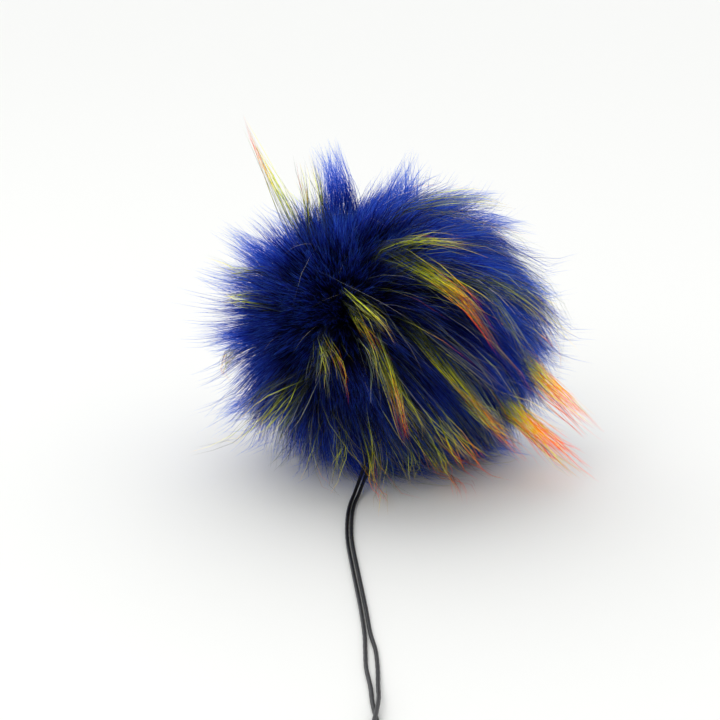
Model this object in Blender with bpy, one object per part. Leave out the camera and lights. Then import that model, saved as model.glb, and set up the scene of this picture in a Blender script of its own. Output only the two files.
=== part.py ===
"""Long-haired faux-fur pompom, resting on a surface, with its two tie ends laid out in front.

The pompom is a disc of fur cloth gathered into a ball round its filling. Its pile stands in locks, each
one a three-sided tapering strand fused to the cloth at its root. The locks part at a whorl near the front,
are combed away from it, droop at the right, and end level on the surface underneath. The two ends of the
drawstring leave the gathered mouth low at the front and lie on the surface.

Metres, +Z up, front at -Y. The origin is on the surface, under the ball's centre.
"""
import math
import random

import bmesh
import bpy
import numpy as np
from mathutils import Matrix, Vector

MM = 0.001

# ---- Driving dimensions ----
BALL_RADIUS = 0.030          # gathered cloth round its filling
BALL_HEIGHT = 0.055          # ball's centre above the surface
PILE_REACH = 0.0675          # ball's centre to the tips of the ordinary locks
PILE_FULLNESS = 0.04         # share of that reach which the right side has more
PILE_FLATTEN = 0.10          # and which the top has less
TIE_DIAMETER = 0.0014
VIEW_RISE = math.radians(18)  # the fur's front is turned up by this much

# ---- Locks ----
BALL_CUTS = 3                # icosphere level: 320 cells, a lock to a cell at most
MOST_LOCKS = 296
BALL_TURN = math.radians(20) # of the cells round the mouth's axis
CELL_UNEVENNESS = 0.13       # share of a cell's edge by which its corners wander
INSET = 0.0001               # of a lock's root in its cell, before the profile places it
LOCK_PROFILE = (0.86, 0.80, 0.70, 0.54, 0.33, 0.05)  # share of its cell that a lock fills, root to tip
SHORTEST, LONGEST = 0.90, 1.06  # ordinary locks, as shares of the pile
FOOT_SHARE = 0.30            # share of its cell that a lock's level end fills on the surface
FOOT_REACH = 0.0015          # a lock that comes this near to the surface rests on it
TIE_CLEARANCE = 0.0042       # between the tie's middle and the side of a lock
SEED = 11

# ---- Comb: how far hair is swept over the ball on its way to the tip, in radians at the strongest ----
WHORL = (-0.74, 0.60, 0.30)  # right, front, up
WHORL_SWEEP = 0.62
DROOP = 0.60
SPLAY = 0.30
SPLAY_WIDTH = 0.75           # radians round the ball's underside
BEND = 1.6                   # the sweep grows with this power of the way to the tip
COMB_STROKES = 16

# ---- Guard locks, which stand out of the pile: each one's tip in millimetres from the ball's centre ----
GUARD_LOCKS = (
    # name            right  front   up
    ("top",            -22,     4,   67),
    ("top_wisp",       -53,     2,   79),
    ("crest",           13,     3,   67),
    ("crown_right",     33,    12,   60),
    ("upper_right",     53,     6,   46),
    ("right_upper",     68,     4,   18),
    ("right",           74,     8,   -8),
    ("right_low",       86,     8,  -37),
    ("low_right",       80,    12,  -54),
    ("low_front",       55,    32,  -50),
    ("front_sweep",     46,    47,   -9),
    ("front_long",      50,    40,  -40),
    ("front_mid",       10,    52,  -46),
    ("front_short",    -20,    60,  -27),
    ("low_left",       -48,    30,  -44),
    ("left_low",       -65,     6,  -34),
    ("left",           -74,     0,    0),
    ("left_upper",     -70,     2,   24),
    ("upper_left",     -58,     6,   44),
    ("back_top",         8,   -42,   58),
    ("back_left",      -56,   -48,   18),
    ("back_low_left",  -48,   -54,  -22),
    ("back_mid",         4,   -76,    8),
    ("back_low",        10,   -66,  -30),
    ("back_right",      58,   -46,   20),
    ("back_low_right",  62,   -44,  -24),
)
GUARD_SHARE = 0.46           # a guard lock's thickness, as a share of an ordinary one's

# ---- Tie: the middle of the pair, how far each end lies from it, and the right end's hump over the left,
# all in millimetres ----
MOUTH = (0.0, -0.66, -0.75)  # the gathered mouth, as a direction from the ball's centre
TIE_ROUTE = (
    # right   along    up   half_gap  hump
    (0.0,    -19.03,  33.39,   1.15,  0.0),
    (-0.6,   -22.5,   29.4,    1.15,  0.0),
    (-2.4,   -27.8,   22.0,    1.10,  0.0),
    (-5.2,   -33.6,   13.4,    1.05,  0.0),
    (-8.0,   -40.0,    6.2,    1.00,  0.0),
    (-10.6,  -48.0,    2.0,    0.90,  0.0),
    (-12.6,  -58.0,    0.7,    0.87,  0.0),
    (-13.4,  -72.0,    0.7,    0.87,  0.0),
    (-13.1,  -90.0,    0.7,    0.87,  0.0),
    (-10.9, -115.0,    0.7,    0.87,  0.0),
    (-8.5,  -140.0,    0.7,    0.87,  0.0),
    (-7.1,  -158.0,    0.7,    0.95,  0.0),
    (-6.2,  -169.0,    0.7,    1.60,  0.0),
    (-5.8,  -180.0,    0.7,    1.75,  0.0),
    (-5.2,  -191.0,    0.7,    1.15,  0.6),
    (-4.9,  -200.0,    0.7,    0.90,  1.5),
    (-4.8,  -208.0,    0.7,    0.00,  1.75),
    (-4.7,  -216.0,    0.7,   -1.30,  1.5),
    (-4.4,  -226.0,    0.7,   -3.20,  0.5),
    (-3.6,  -238.0,    0.7,   -5.80,  0.0),
    (-2.4,  -250.0,    0.7,   -8.60,  0.0),
)
TIE_ENDS = (
    # name       side  passes_over
    ("tie_left",  -1,  0),
    ("tie_right",  1,  1),
)
TIE_POINT_SPACING = 0.0038   # 2.7 diameters
TIE_BEVEL_RESOLUTION = 2

FUR_BLUE = (0.012, 0.028, 0.26)
TIE_BLACK = (0.012, 0.012, 0.014)

BALL_CENTRE = np.array((0.0, 0.0, BALL_HEIGHT))
DOWN = np.array((0.0, 0.0, -1.0))


def clear_scene():
    for thing in list(bpy.data.objects):
        bpy.data.objects.remove(thing, do_unlink=True)


def make_material(name, colour, roughness):
    material = bpy.data.materials.new(name)
    material.use_nodes = True
    shader = material.node_tree.nodes["Principled BSDF"]
    shader.inputs["Base Color"].default_value = (*colour, 1.0)
    shader.inputs["Roughness"].default_value = roughness
    shader.inputs["Metallic"].default_value = 0.0
    return material


def unit(vectors):
    return vectors / np.linalg.norm(vectors, axis=-1, keepdims=True)


def from_front(right, front, up):
    """Turns an offset as seen from the fur's front into one along the model's own axes."""
    return np.array((
        right,
        up * math.sin(VIEW_RISE) - front * math.cos(VIEW_RISE),
        up * math.cos(VIEW_RISE) + front * math.sin(VIEW_RISE),
    ))


# ---- Comb ----

def towards(pole, directions):
    """The pull on each direction over the sphere, towards a pole."""
    return pole - (directions @ pole)[..., None] * directions


def comb(directions, amount):
    """Sweeps directions away from the whorl, down at the right and outwards underneath. A flow over a
    sphere never crosses itself, so neighbouring locks stay apart however far they are swept."""
    whorl = unit(from_front(*WHORL))
    for _ in range(COMB_STROKES):
        side = np.clip(directions[..., :1] + 0.2, 0.0, 1.0)
        from_bottom = np.arccos(np.clip(-directions[..., 2:], -1.0, 1.0))
        under = np.exp(-((from_bottom / SPLAY_WIDTH) ** 2))
        pull = (
            (DROOP * side - SPLAY * under) * towards(DOWN, directions)
            - WHORL_SWEEP * towards(whorl, directions)
        )
        directions = unit(directions + pull * amount / COMB_STROKES)
    return directions


def pile_reach(directions):
    """How far the ordinary pile goes from the ball's centre: more at the right, less at the top."""
    right = np.clip(directions[..., :1], 0.0, 1.0)
    top = np.clip(directions[..., 2:], 0.0, 1.0)
    return PILE_REACH * (1.0 + PILE_FULLNESS * right ** 2 - PILE_FLATTEN * top ** 2)


def along_pile(roots, way):
    """Where hair with these root directions is, this share of the way to the pile's surface."""
    way = np.asarray(way)[..., None]
    swept = comb(roots, np.minimum(way, 1.0) ** BEND)
    return BALL_CENTRE + swept * (BALL_RADIUS + (pile_reach(swept) - BALL_RADIUS) * way)


# ---- Ball ----

def make_ball(rng):
    """The gathered cloth, an uneven net of three-cornered cells. It is flat at the mouth, where it is drawn
    up. Returns it with the cells that may hold a lock."""
    ball = bmesh.new()
    bmesh.ops.create_icosphere(ball, subdivisions=BALL_CUTS, radius=BALL_RADIUS)
    mouth = Vector(MOUTH).normalized()
    drawn_up = max(ball.verts, key=lambda vert: vert.co.dot(mouth))
    turn = Matrix.Rotation(BALL_TURN, 3, mouth) @ drawn_up.co.rotation_difference(mouth).to_matrix()
    bmesh.ops.rotate(ball, cent=(0, 0, 0), matrix=turn, verts=ball.verts)
    flat = [drawn_up] + [edge.other_vert(drawn_up) for edge in drawn_up.link_edges]
    for vert in ball.verts:
        if vert in flat:
            continue
        edge = sum(edge.calc_length() for edge in vert.link_edges) / len(vert.link_edges)
        wander = Vector([rng.uniform(-1, 1) for _ in range(3)]) * edge * CELL_UNEVENNESS
        vert.co = (vert.co + wander).normalized() * BALL_RADIUS
    depth = min(vert.co.dot(mouth) for vert in flat)
    for vert in flat:
        vert.co += mouth * (depth - vert.co.dot(mouth))
    cells = [face for face in ball.faces if face not in drawn_up.link_faces]
    bmesh.ops.translate(ball, vec=BALL_CENTRE, verts=ball.verts)
    return ball, cells


# ---- Locks ----

class Locks:
    """The locks, a row of each array to a lock. Directions are from the ball's centre."""

    def __init__(self, cells):
        self.cells = cells
        self.corners = unit(np.array([[vert.co for vert in cell.verts] for cell in cells]) - BALL_CENTRE)
        self.middles = unit(self.corners.mean(axis=1))
        self.lengths = np.ones(len(cells))        # as shares of the way to the pile's surface
        self.thickness = np.ones(len(cells))
        self.leans = np.zeros((len(cells), 3))    # what a lock's tip is drawn aside by
        self.level = np.zeros(len(cells), bool)   # whether its end rests on the surface
        self.foot = None                          # the row of the lock straight under the ball

    def paths(self, ways):
        """The middle of each lock at each of these ways along it, from 0 at the root to 1 at the tip."""
        ways = np.asarray(ways)[:, None]
        return along_pile(self.middles, self.lengths * ways) + self.leans * ways[..., None] ** 2

    def rings(self):
        """The three corners of each lock at each step of its profile."""
        shares = np.outer(LOCK_PROFILE, self.thickness)
        shares[0] = LOCK_PROFILE[0]
        shares[-1, self.level] = FOOT_SHARE
        middles = self.middles[:, None]
        roots = unit(middles + shares[..., None, None] * (self.corners - middles))
        ways = np.linspace(0.0, 1.0, len(LOCK_PROFILE))[:, None, None]
        places = along_pile(roots, self.lengths[:, None] * ways) + self.leans[:, None] * ways[..., None] ** 2
        places[-1, self.level, :, 2] = 0.0
        return places


def place_guard_locks(locks):
    """Gives the lock under the ball, and then each guard lock, the cell whose combed tip lies nearest to its
    own. Returns the cells left over."""
    combed = comb(locks.middles, 1.0)
    free = list(range(len(locks.cells)))

    def draw_out(tip):
        nearest = max(free, key=lambda row: combed[row] @ unit(tip))
        free.remove(nearest)
        pile = pile_reach(combed[nearest])[0] - BALL_RADIUS
        length = (np.linalg.norm(tip) - BALL_RADIUS) / pile
        locks.lengths[nearest] = length
        locks.leans[nearest] = BALL_CENTRE + tip - along_pile(locks.middles[nearest], length)
        return nearest

    locks.foot = draw_out(-BALL_CENTRE)
    for _, *place in GUARD_LOCKS:
        locks.thickness[draw_out(from_front(*place) * MM)] = GUARD_SHARE
    return free


def rest_on_surface(locks):
    """Cuts the locks short that come down to the surface, so that their ends lie level on it, and centres the
    foot's end under the ball."""
    ways = np.linspace(0.0, 1.0, 201)
    low = locks.paths(ways)[..., 2] < FOOT_REACH
    locks.level = low.any(axis=0)
    kept = np.where(locks.level, ways[low.argmax(axis=0)], 1.0)
    locks.lengths *= kept
    locks.leans *= kept[:, None] ** 2
    locks.leans[locks.foot] -= locks.rings()[-1, locks.foot].mean(axis=0)


def rows_clear_of(route, rings):
    """The locks that leave the tie's way free."""
    middles = rings.mean(axis=2)
    half_widths = np.linalg.norm(rings - middles[:, :, None], axis=3).max(axis=2)
    gaps = np.linalg.norm(route - middles[:, :, None], axis=3).min(axis=2) - half_widths
    return np.flatnonzero((gaps > TIE_CLEARANCE).all(axis=0))


def grow_lock(ball, cell, rings):
    """Draws a lock out of its cell, ring by ring."""
    bmesh.ops.inset_individual(ball, faces=[cell], thickness=INSET)
    face = cell
    for step, places in enumerate(rings):
        if step:
            face = bmesh.ops.extrude_discrete_faces(ball, faces=[face])["faces"][0]
        for vert, place in zip(face.verts, places):
            vert.co = place


def make_pompom(route, material):
    rng = random.Random(SEED)
    ball, cells = make_ball(rng)
    locks = Locks(cells)
    for row in place_guard_locks(locks):
        locks.lengths[row] = rng.uniform(SHORTEST, LONGEST)
    rest_on_surface(locks)
    rings = locks.rings()
    widest_first = sorted(rows_clear_of(route, rings), key=lambda row: -cells[row].calc_area())
    for row in widest_first[:MOST_LOCKS]:
        grow_lock(ball, cells[row], rings[:, row])
    mesh = bpy.data.meshes.new("pompom")
    ball.to_mesh(mesh)
    ball.free()
    mesh.materials.append(material)
    pompom = bpy.data.objects.new("pompom", mesh)
    bpy.context.collection.objects.link(pompom)
    return pompom


# ---- Tie ----

def smooth_route(rows, spacing):
    """Points at an even spacing along the smooth curve through the rows, every column blended alike."""
    rows = np.array(rows, float)
    padded = np.vstack((2 * rows[0] - rows[1], rows, 2 * rows[-1] - rows[-2]))
    ways = np.linspace(0.0, 1.0, 40, endpoint=False)[:, None]
    spans = []
    for before, start, end, after in zip(padded, padded[1:], padded[2:], padded[3:]):
        spans.append(0.5 * (
            2 * start + (end - before) * ways
            + (2 * before - 5 * start + 4 * end - after) * ways ** 2
            + (3 * start - before - 3 * end + after) * ways ** 3
        ))
    fine = np.vstack((*spans, rows[-1:]))
    travelled = np.concatenate(([0.0], np.cumsum(np.linalg.norm(np.diff(fine[:, :3], axis=0), axis=1))))
    stops = np.linspace(0.0, travelled[-1], round(travelled[-1] * MM / spacing) + 1)
    return np.stack([np.interp(stops, travelled, column) for column in fine.T], axis=1)


def make_tie_end(name, side, passes_over, stops, material):
    curve = bpy.data.curves.new(name, "CURVE")
    curve.dimensions = "3D"
    curve.bevel_depth = TIE_DIAMETER / 2
    curve.bevel_resolution = TIE_BEVEL_RESOLUTION
    curve.use_fill_caps = True
    spline = curve.splines.new("POLY")
    spline.points.add(len(stops) - 1)
    for point, (right, along, up, half_gap, hump) in zip(spline.points, stops):
        height = max(up * MM, TIE_DIAMETER / 2) + passes_over * max(hump, 0.0) * MM
        point.co = ((right + side * half_gap) * MM, along * MM, height, 1.0)
    curve.materials.append(material)
    tie = bpy.data.objects.new(name, curve)
    bpy.context.collection.objects.link(tie)
    return tie


def main():
    clear_scene()
    stops = smooth_route(TIE_ROUTE, TIE_POINT_SPACING)
    make_pompom(stops[:, :3] * MM, make_material("fur_cloth", FUR_BLUE, 0.8))
    tie_black = make_material("tie_cord", TIE_BLACK, 0.55)
    for name, side, passes_over in TIE_ENDS:
        make_tie_end(name, side, passes_over, stops, tie_black)


main()
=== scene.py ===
import math

import bpy
import numpy as np
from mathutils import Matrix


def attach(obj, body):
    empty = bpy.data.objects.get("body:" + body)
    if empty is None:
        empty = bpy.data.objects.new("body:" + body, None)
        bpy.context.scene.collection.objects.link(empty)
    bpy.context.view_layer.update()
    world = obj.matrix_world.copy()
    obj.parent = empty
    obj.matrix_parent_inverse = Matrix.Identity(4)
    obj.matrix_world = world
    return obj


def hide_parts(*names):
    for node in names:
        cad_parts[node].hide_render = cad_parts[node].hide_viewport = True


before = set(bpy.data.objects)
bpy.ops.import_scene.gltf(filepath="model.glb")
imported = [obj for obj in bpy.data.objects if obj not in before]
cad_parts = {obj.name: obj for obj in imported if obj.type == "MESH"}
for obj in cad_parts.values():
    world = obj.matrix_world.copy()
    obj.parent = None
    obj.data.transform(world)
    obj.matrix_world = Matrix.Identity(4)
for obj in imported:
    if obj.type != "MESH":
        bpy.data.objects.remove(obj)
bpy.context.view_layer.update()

# ---- Gathered ball ----
# The real piece is a round of fur cloth with a knitted back, drawn up round its stuffing by a running
# stitch near its rim. The gathers stand in pleats round the mouth, low at the front.

MM = 0.001
BALL_RADIUS = 0.0296
BALL_CENTRE = np.array((0.0, 0.0, 0.055))
MOUTH = np.array((0.0, -0.66, -0.75)) / math.hypot(0.66, 0.75)
PLEATS = 15
PLEAT_DEPTH = 0.0011
PLEATS_AT, PLEATS_SPAN = 0.35, 0.3  # radians from the mouth
MOUTH_DIMPLE, DIMPLE_SPAN = 0.0012, 0.16  # m deep; radians
KNIT_UNIT = 0.00124  # m to a unit of the knit's pattern, which puts its rows 0.8 mm apart
BALL_RINGS, BALL_SPOKES = 60, 150
BALL_POLE = 0.02  # radians left open at the mouth, where the cords come out, and opposite it


def linear(hex_colour):
    """An sRGB hex colour as linear light."""
    parts = [int(hex_colour[i:i + 2], 16) / 255 for i in (1, 3, 5)]
    return (*[p / 12.92 if p <= 0.04045 else ((p + 0.055) / 1.055) ** 2.4 for p in parts], 1.0)


def unit(vectors):
    return vectors / np.linalg.norm(vectors, axis=-1, keepdims=True)


def add_node(material, kind, settings=None, links=None):
    """Adds a node. Settings are its own properties or, by name or number, its sockets' values; links are the
    sockets that feed its own."""
    node = material.node_tree.nodes.new(kind)
    for name, value in (settings or {}).items():
        if isinstance(name, str) and hasattr(node, name):
            setattr(node, name, value)
        else:
            node.inputs[name].default_value = value
    for name, source in (links or {}).items():
        material.node_tree.links.new(source, node.inputs[name])
    return node


def set_ramp(node, stops):
    """Gives a colour ramp these stops, from 0 to 1, each a place and an sRGB hex colour."""
    ramp = node.color_ramp
    for place, colour in stops[1:-1]:
        ramp.elements.new(place).color = linear(colour)
    ramp.elements[0].color, ramp.elements[-1].color = linear(stops[0][1]), linear(stops[-1][1])


def new_material(name):
    material = bpy.data.materials.new(name)
    material.use_nodes = True
    material.node_tree.nodes.clear()
    return material


def finish_material(material, shader):
    add_node(material, "ShaderNodeOutputMaterial", links={"Surface": shader.outputs[0]})


def mesh_piece(name, places, corners, sides, uvs, material, normals=None):
    """A mesh from arrays: corners are vertex numbers, face after face, and sides says how many each has."""
    mesh = bpy.data.meshes.new(name)
    mesh.vertices.add(len(places))
    mesh.vertices.foreach_set("co", np.asarray(places, np.float32).ravel())
    mesh.loops.add(len(corners))
    mesh.loops.foreach_set("vertex_index", np.asarray(corners, np.int32))
    mesh.polygons.add(len(sides))
    starts = np.concatenate(([0], np.cumsum(sides)[:-1]))
    mesh.polygons.foreach_set("loop_start", starts.astype(np.int32))
    mesh.update(calc_edges=True)
    mesh.polygons.foreach_set("use_smooth", np.ones(len(sides), bool))
    layer = mesh.uv_layers.new(name="OFBake")
    layer.uv.foreach_set("vector", np.asarray(uvs, np.float32).ravel())
    mesh.materials.append(material)
    if normals is not None:
        mesh.normals_split_custom_set_from_vertices(normals.tolist())
    piece = bpy.data.objects.new(name, mesh)
    bpy.context.collection.objects.link(piece)
    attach(piece, "root")
    return piece


def grid_faces(rows, columns):
    """The corners of the quads of a grid that closes on itself sideways, and where each lies along it."""
    row, column = np.meshgrid(np.arange(rows - 1), np.arange(columns), indexing="ij")
    around = (column + 1) % columns
    corners = np.stack((row * columns + column, row * columns + around,
                        (row + 1) * columns + around, (row + 1) * columns + column), axis=-1)
    shares = np.stack((
        np.stack((column, row), -1), np.stack((column + 1, row), -1),
        np.stack((column + 1, row + 1), -1), np.stack((column, row + 1), -1),
    ), axis=-2) / (columns, rows - 1)
    return corners.ravel(), np.full((rows - 1) * columns, 4), shares.reshape(-1, 2)


knit_back = new_material("knitted_polyester_back")  # dull and dark; rows of small stitches catch the light, by their relief and by a painted highlight
knit_place = add_node(knit_back, "ShaderNodeUVMap", {"uv_map": "OFBake"})
knit_round = round(2 * math.pi * BALL_RADIUS / KNIT_UNIT)
knit_along = round(math.pi * BALL_RADIUS / KNIT_UNIT)
knit_turns = add_node(knit_back, "ShaderNodeMapping", {"Scale": (knit_round, knit_along, 1)},
                      {"Vector": knit_place.outputs[0]})
knit_rows = add_node(knit_back, "ShaderNodeTexWave", {"Scale": 0.5, "Distortion": 1.2},
                     {"Vector": knit_turns.outputs[0]})
# painted highlight and shade: the colour is lighter and darker along the knit's rows, with their relief
knit_colour = add_node(knit_back, "ShaderNodeValToRGB", links={"Fac": knit_rows.outputs["Fac"]})
set_ramp(knit_colour, ((0.0, "#06081f"), (1.0, "#10173f")))
knit_relief = add_node(knit_back, "ShaderNodeBump", {"Strength": 0.4, "Distance": 0.0003},
                       {"Height": knit_rows.outputs["Fac"]})
finish_material(knit_back, add_node(
    knit_back, "ShaderNodeBsdfPrincipled", {"Roughness": 0.9, "Specular IOR Level": 0.2},
    {"Base Color": knit_colour.outputs[0], "Normal": knit_relief.outputs[0]},
))

from_mouth = np.linspace(BALL_POLE, math.pi - BALL_POLE, BALL_RINGS)[:, None]
round_mouth = np.linspace(0.0, 2 * math.pi, BALL_SPOKES, endpoint=False)[None, :]
across = unit(np.cross(MOUTH, (1.0, 0.0, 0.0)))
over = np.cross(MOUTH, across)
ball_way = (
    np.cos(from_mouth)[..., None] * MOUTH
    + (np.sin(from_mouth) * np.cos(round_mouth))[..., None] * across
    + (np.sin(from_mouth) * np.sin(round_mouth))[..., None] * over
)
pleating = PLEAT_DEPTH * np.cos(PLEATS * round_mouth) * np.exp(-((from_mouth - PLEATS_AT) / PLEATS_SPAN) ** 2)
dimple = MOUTH_DIMPLE * np.exp(-(from_mouth / DIMPLE_SPAN) ** 2)
ball_places = BALL_CENTRE + ball_way * (BALL_RADIUS + pleating - PLEAT_DEPTH - dimple)[..., None]
gathered_ball = mesh_piece("gathered_ball", ball_places.reshape(-1, 3),
                           *grid_faces(BALL_RINGS, BALL_SPOKES), knit_back)
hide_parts("pompom")

# ---- Blue under-fur ----
# The real piece is the short, dense pile of fine acrylic that stands in the knitted back. It parts at a
# whorl near the front, is combed away from it, droops at the right and lies flat where it meets the
# surface. Fibres gather in strands, strands in wisps and wisps in tufts.

rng = np.random.default_rng(7)
VIEW_RISE = math.radians(18)  # the fur's front is turned up by this much
DOWN = np.array((0.0, 0.0, -1.0))
WHORL = (-0.74, 0.60, 0.30)  # right, front, up
WHORL_SWEEP, DROOP, SPLAY = 0.62, 0.60, 0.30  # the comb's pull away from the whorl, down, and out underneath
SPLAY_WIDTH = 0.75  # radians round the bottom
DROOP_REACH = 0.2  # how far to the left of the middle the fur still droops
TOP_LIFT = 0.65  # the share of the droop that the fur at the very top is spared
BEND = 1.6  # how late along it the fur bends
COMB_STROKES = 16
PILE_REACH = 0.0675  # m from the ball's centre
PILE_FULLNESS, PILE_FLATTEN = 0.04, 0.10  # how much further at the right, how much less at the top
MOUTH_BARE = 0.15  # radians of bare cloth round the mouth
REST_DEPTH = 0.0080  # fur under this height bends to lie on the surface
LIE_HEIGHT = 0.0004
PUSHED_OUT = 0.75  # how far out it goes for each metre by which the surface lifts it
UNPUSHED = 0.006  # m round the middle where it is pushed out less
FIBRE_ROLL = 1.1  # how unevenly the strips are turned about their own length
EDGE_TURN = 0.8  # how far the normals lean out at a strip's edges
WAYS_AT_ONCE = 4000  # compared with all the centres in one go


def from_front(right, front, up):
    """Turns offsets as seen from the fur's front into ones along the model's own axes."""
    return np.stack((
        right,
        up * math.sin(VIEW_RISE) - front * math.cos(VIEW_RISE),
        up * math.cos(VIEW_RISE) + front * math.sin(VIEW_RISE),
    ), axis=-1)


whorl = unit(from_front(*WHORL))


def towards(pole, ways):
    return pole - (ways @ pole)[..., None] * ways


def angle_from(pole, ways):
    return np.arccos(np.clip(ways @ pole, -1.0, 1.0))


def comb(ways, amount):
    """Sweeps directions away from the whorl, down at the right and outwards underneath."""
    for _ in range(COMB_STROKES):
        top = np.clip(ways[..., 2:], 0.0, 1.0)
        side = np.clip(ways[..., :1] + DROOP_REACH, 0.0, 1.0) * (1.0 - TOP_LIFT * top)
        from_bottom = np.arccos(np.clip(-ways[..., 2:], -1.0, 1.0))
        under = np.exp(-((from_bottom / SPLAY_WIDTH) ** 2))
        pull = (DROOP * side - SPLAY * under) * towards(DOWN, ways) - WHORL_SWEEP * towards(whorl, ways)
        ways = unit(ways + pull * amount / COMB_STROKES)
    return ways


def pile_reach(ways):
    """How far the pile goes from the ball's centre: more at the right, less at the top."""
    right = np.clip(ways[..., :1], 0.0, 1.0)
    top = np.clip(ways[..., 2:], 0.0, 1.0)
    return PILE_REACH * (1.0 + PILE_FULLNESS * right ** 2 - PILE_FLATTEN * top ** 2)


def even_ways(count, unevenness):
    """Directions spread over a sphere, jittered by a share of their spacing."""
    index = np.arange(count) + 0.5
    height = 1 - 2 * index / count
    turn = index * math.pi * (3 - math.sqrt(5))
    flat = np.sqrt(1 - height ** 2)
    ways = np.stack((flat * np.cos(turn), flat * np.sin(turn), height), axis=1)
    return unit(ways + rng.normal(size=ways.shape) * unevenness * math.sqrt(4 * math.pi / count))


def nearest(ways, centres):
    """For each direction, which centre is nearest."""
    parts = np.array_split(ways, 1 + len(ways) // WAYS_AT_ONCE)
    return np.concatenate([(part @ centres.T).argmax(axis=1) for part in parts])


def lie_on_surface(places):
    """Bends what would pass under the surface so that it lies on it, pushed out sideways."""
    low = places[..., 2] < REST_DEPTH
    height = np.where(low, REST_DEPTH * np.exp((places[..., 2] - REST_DEPTH) / REST_DEPTH), places[..., 2])
    height = np.maximum(height, LIE_HEIGHT)
    lift = height - places[..., 2]
    sideways = places[..., :2]
    outward = sideways / np.maximum(np.linalg.norm(sideways, axis=-1, keepdims=True), UNPUSHED)
    return np.concatenate((sideways + outward * PUSHED_OUT * lift[..., None], height[..., None]), axis=-1)


def grow_fibres(name, places, half_widths, shades, shade_width, material, spread=0.0, late=1.0):
    """One mesh of tapering fibres. Places are (fibres, steps, 3), with a half width for each step. A fibre is
    a strip whose normals turn from one edge to the other, so that it takes the light as a round hair does.
    Shades lie across the UV map and the way to the tip along it: its colours come late along all the fibres,
    or early where that is under 1, and more so in some fibres than in others by this spread."""
    fibres, steps, _ = places.shape
    along = unit(np.gradient(places, axis=1))
    outward = unit(places - BALL_CENTRE)
    roll = rng.normal(size=(fibres, 1, 3))
    side = unit(np.cross(along, outward + FIBRE_ROLL * unit(roll)))
    face_on = unit(np.cross(side, along))
    reach = side * half_widths[:, None]
    per_fibre = 2 * steps - 1
    verts = np.empty((fibres, per_fibre, 3))
    normals = np.empty((fibres, per_fibre, 3))
    verts[:, 0:-1:2] = (places - reach)[:, :-1]
    verts[:, 1:-1:2] = (places + reach)[:, :-1]
    verts[:, -1] = places[:, -1]
    normals[:, 0:-1:2] = unit(face_on - EDGE_TURN * side)[:, :-1]
    normals[:, 1:-1:2] = unit(face_on + EDGE_TURN * side)[:, :-1]
    normals[:, -1] = face_on[:, -1]
    pattern, pattern_u, pattern_step = [], [], []
    for step in range(steps - 2):
        low, high = 2 * step, 2 * step + 2
        pattern += [low, low + 1, high + 1, high]
        pattern_u += [-1, 1, 1, -1]
        pattern_step += [step, step, step + 1, step + 1]
    pattern += [per_fibre - 3, per_fibre - 2, per_fibre - 1]
    pattern_u += [-1, 1, 0]
    pattern_step += [steps - 2, steps - 2, steps - 1]
    corners = np.arange(fibres)[:, None] * per_fibre + np.array(pattern)
    lateness = late * np.exp(rng.normal(size=(fibres, 1)) * spread)
    way_to_tip = np.linspace(0.0, 1.0, steps) ** lateness
    uvs = np.stack(np.broadcast_arrays(
        shades[:, None] + np.array(pattern_u) * shade_width, way_to_tip[:, pattern_step],
    ), axis=-1)
    sides = np.tile([4] * (steps - 2) + [3], fibres)
    piece = mesh_piece(name, verts.reshape(-1, 3), corners.ravel(), sides, uvs.reshape(-1, 2), material,
                       normals.reshape(-1, 3))
    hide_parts("pompom")


TUFTS, WISPS, STRANDS, FIBRES_A_STRAND = 300, 2000, 14000, 7
TUFT_DRAW, WISP_DRAW, STRAND_DRAW = 0.24, 0.38, 0.40  # how far each gathers its fibres at the tip
WISP_LEAN, STRAND_LEAN, FIBRE_LEAN = 1.6, 1.3, 1.5  # mm by which the tip of each strays
DRAW_LATE, LEAN_LATE = 1.4, 1.5  # how late along the fibres they gather and stray
ROOT_SCATTER = 0.012  # radians by which fibres start away from their strand's middle
UNDERFUR_SHARE = 1.07  # of the pile's depth
TUFT_LENGTHS, WISP_LENGTHS, STRAND_LENGTHS = (0.86, 1.07), (0.76, 1.13), (0.78, 1.10)  # shares of that
FIBRE_SHORTEST, FIBRE_LONGER = 0.70, 0.44  # of its strand's length
FEW_LONG = 1.6  # the higher, the fewer long fibres
UNDERFUR_STEPS = np.array((0.0, 0.36, 0.64, 0.85, 1.0))
UNDERFUR_WIDTHS = np.array((0.30, 0.27, 0.18, 0.10, 0.0)) * MM / 2
BLUE_MIDDLE, BLUE_SPREAD, BLUE_EDGE = 0.5, 0.16, 0.02  # of the shades across the UV map
BLUE_STRIP = 0.01  # a fibre's half width on it
WHORL_STANDS, WHORL_SPAN = 0.30, 1.3  # share of the comb at the whorl; radians until all of it is there
# Where the fur stands forward and its ends lie across each other, as right, front and up. How much more the
# tips stray there, and the radians that this spans
CROWN = (-0.24, 0.97, 0.05)
CROWN_TANGLE, CROWN_SPAN = 2.2, 0.36
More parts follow.
